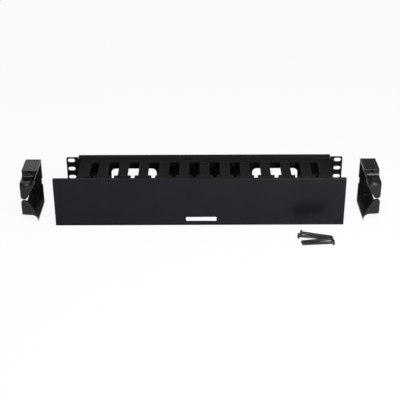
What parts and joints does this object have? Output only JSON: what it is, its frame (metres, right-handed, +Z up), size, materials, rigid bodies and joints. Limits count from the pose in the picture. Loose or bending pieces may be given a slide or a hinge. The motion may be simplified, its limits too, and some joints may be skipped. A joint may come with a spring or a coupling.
{
  "type": "horizontal cable manager",
  "caption": "Two-unit rack cable manager: folded panel with rack ears, slotted finger rails, hinged cover, end rings and long screws.",
  "frame": {"origin": "centre of the ears' slot pattern on the rear face of the ears, where they meet the rack", "axes": "+X along the manager to the right seen from the front, +Y into the rack, +Z up"},
  "size_m": [0.611, 0.1697, 0.0882],
  "materials": {
    "panel_paint": "satin black powder coat",
    "rail_plastic": "fine matt black moulding",
    "cover_plastic": "satin black moulding",
    "ring_plastic": "satin black moulding",
    "rivet_steel": "black",
    "screw_steel": "black oxide"
  },
  "bodies": {
    "manager": {"back_panel": "panel_paint", "upper_finger_rail": "rail_plastic", "lower_finger_rail": "rail_plastic", "upper_rail_rivet_1": "rivet_steel", "upper_rail_rivet_2": "rivet_steel", "upper_rail_rivet_3": "rivet_steel", "upper_rail_rivet_4": "rivet_steel", "upper_rail_rivet_5": "rivet_steel", "upper_rail_rivet_6": "rivet_steel", "lower_rail_rivet_1": "rivet_steel", "lower_rail_rivet_2": "rivet_steel", "lower_rail_rivet_3": "rivet_steel", "lower_rail_rivet_4": "rivet_steel", "lower_rail_rivet_5": "rivet_steel", "lower_rail_rivet_6": "rivet_steel", "end_ring_left": "ring_plastic", "end_ring_right": "ring_plastic", "ring_screw_1": "screw_steel", "ring_screw_2": "screw_steel", "ring_screw_3": "screw_steel", "ring_screw_4": "screw_steel"},
    "cover": {"cover_panel": "cover_plastic"}
  },
  "joints": [
    {"name": "cover_hinge", "type": "hinge", "parent": "manager", "child": "cover", "pos_m": [0, -0.0815, 0.03945], "axis": [-1, 0, 0], "range_deg": [0, 100]}
  ]
}
